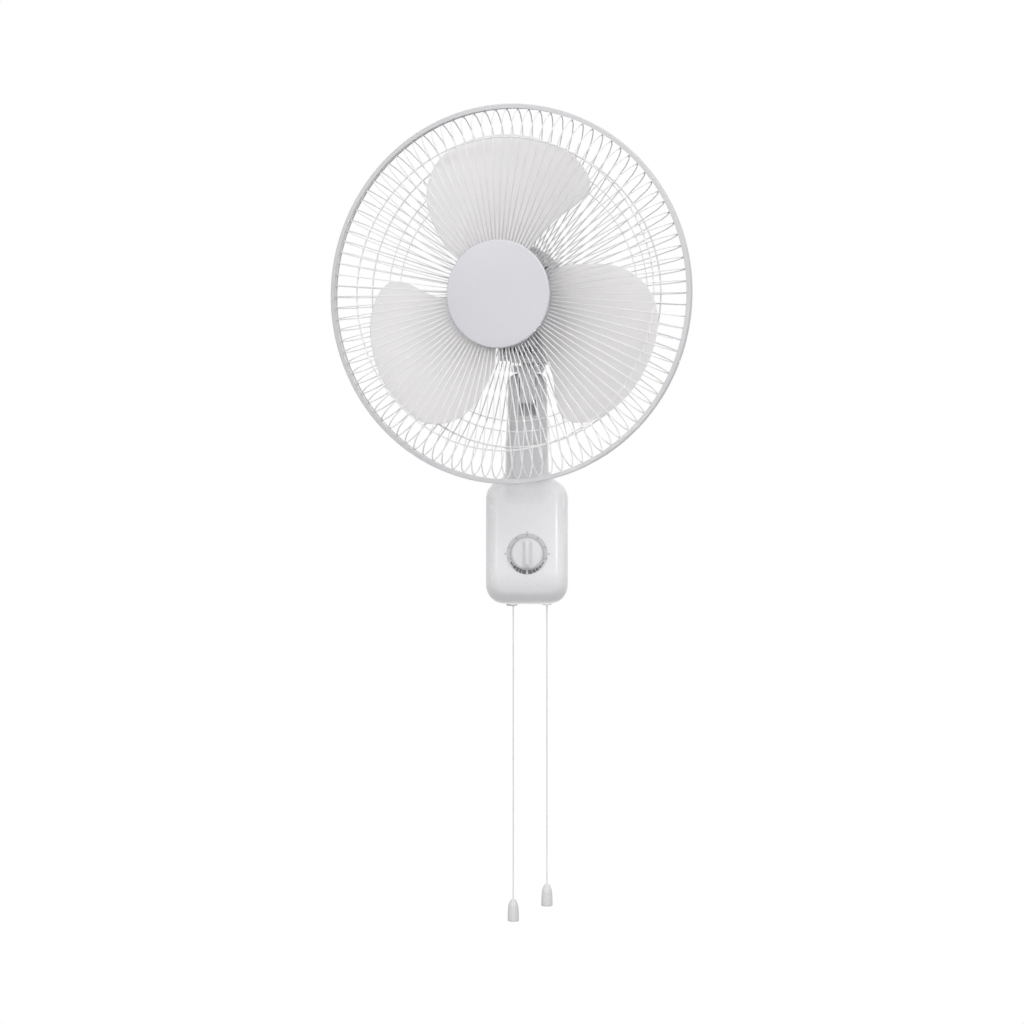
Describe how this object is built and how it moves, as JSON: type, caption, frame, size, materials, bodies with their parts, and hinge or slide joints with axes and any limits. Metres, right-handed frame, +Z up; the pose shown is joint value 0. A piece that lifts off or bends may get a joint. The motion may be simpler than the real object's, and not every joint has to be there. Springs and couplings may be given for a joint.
{
  "type": "wall mounted fan",
  "caption": "White wall fan with a round wire guard, a leaning neck, a timer dial and two pull cords under a rounded base.",
  "frame": {"origin": "centre of the wall bracket's four screw holes, on its back face", "axes": "+Y into the wall, +Z up, +X to the right of someone who faces the fan"},
  "size_m": [0.4218, 0.3167, 0.982],
  "materials": {
    "white_shell": "smooth moulded white",
    "blade_white": "smooth moulded white",
    "guard_paint": "white powder coat",
    "hoop_plastic": "moulded light grey",
    "dial_print": "printed grey",
    "zinc_steel": "zinc plated",
    "cast_alloy": "as cast",
    "lamination": "stacked sheet",
    "copper": "varnished wire",
    "bronze": "sintered",
    "nylon": "natural",
    "dark_plastic": "moulded black",
    "cord_fibre": "twisted",
    "rubber_grey": "soft"
  },
  "bodies": {
    "base": {"wall_bracket": "zinc_steel", "bracket_lock_screw": "zinc_steel", "base_back_shell": "white_shell", "base_front_cover": "white_shell", "base_screws": "zinc_steel", "dial_plate": "dial_print", "timer_unit": "dark_plastic", "speed_switch": "dark_plastic", "swing_switch": "dark_plastic", "cord_guides": "nylon", "run_capacitor": "dark_plastic", "terminal_block": "dark_plastic", "mains_gland": "rubber_grey", "neck_front_shell": "white_shell", "neck_rear_shell": "white_shell", "neck_screws": "zinc_steel", "tilt_bolt": "zinc_steel", "tilt_nut": "zinc_steel", "tilt_friction_washers": "rubber_grey"},
    "knob": {"timer_shaft": "zinc_steel", "timer_knob": "white_shell"},
    "speed_pull": {"speed_plunger": "nylon", "speed_cord": "cord_fibre", "speed_cord_knot": "nylon", "speed_pull_bell": "white_shell"},
    "swing_pull": {"swing_plunger": "nylon", "swing_cord": "cord_fibre", "swing_cord_knot": "nylon", "swing_pull_bell": "white_shell"},
    "tilt": {"tilt_bracket": "cast_alloy", "post_ring": "zinc_steel", "thrust_washer": "nylon"},
    "head": {"swing_bush": "nylon", "swing_saddle": "cast_alloy", "motor_rear_cover": "white_shell", "motor_front_cover": "white_shell", "stator_core": "lamination", "stator_windings": "copper", "stator_bolts": "zinc_steel", "front_bearing_bracket": "cast_alloy", "rear_bearing_bracket": "cast_alloy", "motor_bearings": "bronze", "swing_motor": "dark_plastic", "rear_guard": "guard_paint", "front_guard": "guard_paint", "guard_hoop": "hoop_plastic", "hoop_screw": "zinc_steel", "hoop_nut": "zinc_steel", "guard_nut": "white_shell", "centre_badge": "white_shell", "badge_clamp": "hoop_plastic", "badge_screws": "zinc_steel"},
    "crank": {"swing_crank": "zinc_steel"},
    "link": {"swing_link": "zinc_steel"},
    "rotor": {"motor_shaft": "zinc_steel", "rotor_core": "lamination", "drive_pin": "zinc_steel", "propeller": "blade_white", "spinner": "white_shell"}
  },
  "joints": [
    {"name": "tilt", "type": "hinge", "parent": "base", "child": "tilt", "pos_m": [0, -0.143, 0.184], "axis": [1, 0, 0], "range_deg": [-13.5, 21.5]},
    {"name": "swing", "type": "hinge", "parent": "tilt", "child": "head", "pos_m": [0, -0.1597, 0.29318], "axis": [0, -0.061, 0.9981], "range_deg": [-22, 58]},
    {"name": "blade_spin", "type": "hinge", "parent": "head", "child": "rotor", "pos_m": [0, -0.1597, 0.29318], "axis": [-0.309, -0.9493, -0.0581], "continuous": true},
    {"name": "timer_turn", "type": "hinge", "parent": "base", "child": "knob", "pos_m": [0, -0.07, -0.015], "axis": [0, 1, 0], "range_deg": [0, 300]},
    {"name": "speed_pull", "type": "slide", "parent": "base", "child": "speed_pull", "axis": [0, 0, -1], "range_m": [0, 0.012], "stiffness_N_per_m": 400, "springref_m": -0.01},
    {"name": "swing_pull", "type": "slide", "parent": "base", "child": "swing_pull", "axis": [0, 0, -1], "range_m": [0, 0.012], "stiffness_N_per_m": 400, "springref_m": -0.01},
    {"name": "crank_turn", "type": "hinge", "parent": "head", "child": "crank", "pos_m": [0.00941, -0.10736, 0.21924], "axis": [0, -0.061, 0.9981], "range_deg": [-95, 38]},
    {"name": "link_turn", "type": "hinge", "parent": "crank", "child": "link", "pos_m": [0.02134, -0.10851, 0.21647], "axis": [0, -0.061, 0.9981], "range_deg": [-40, 100]}
  ],
  "couplings": [
    {"joint": "crank_turn", "follows": "swing", "ratio": -1.6},
    {"joint": "link_turn", "follows": "swing", "ratio": 1.676}
  ]
}
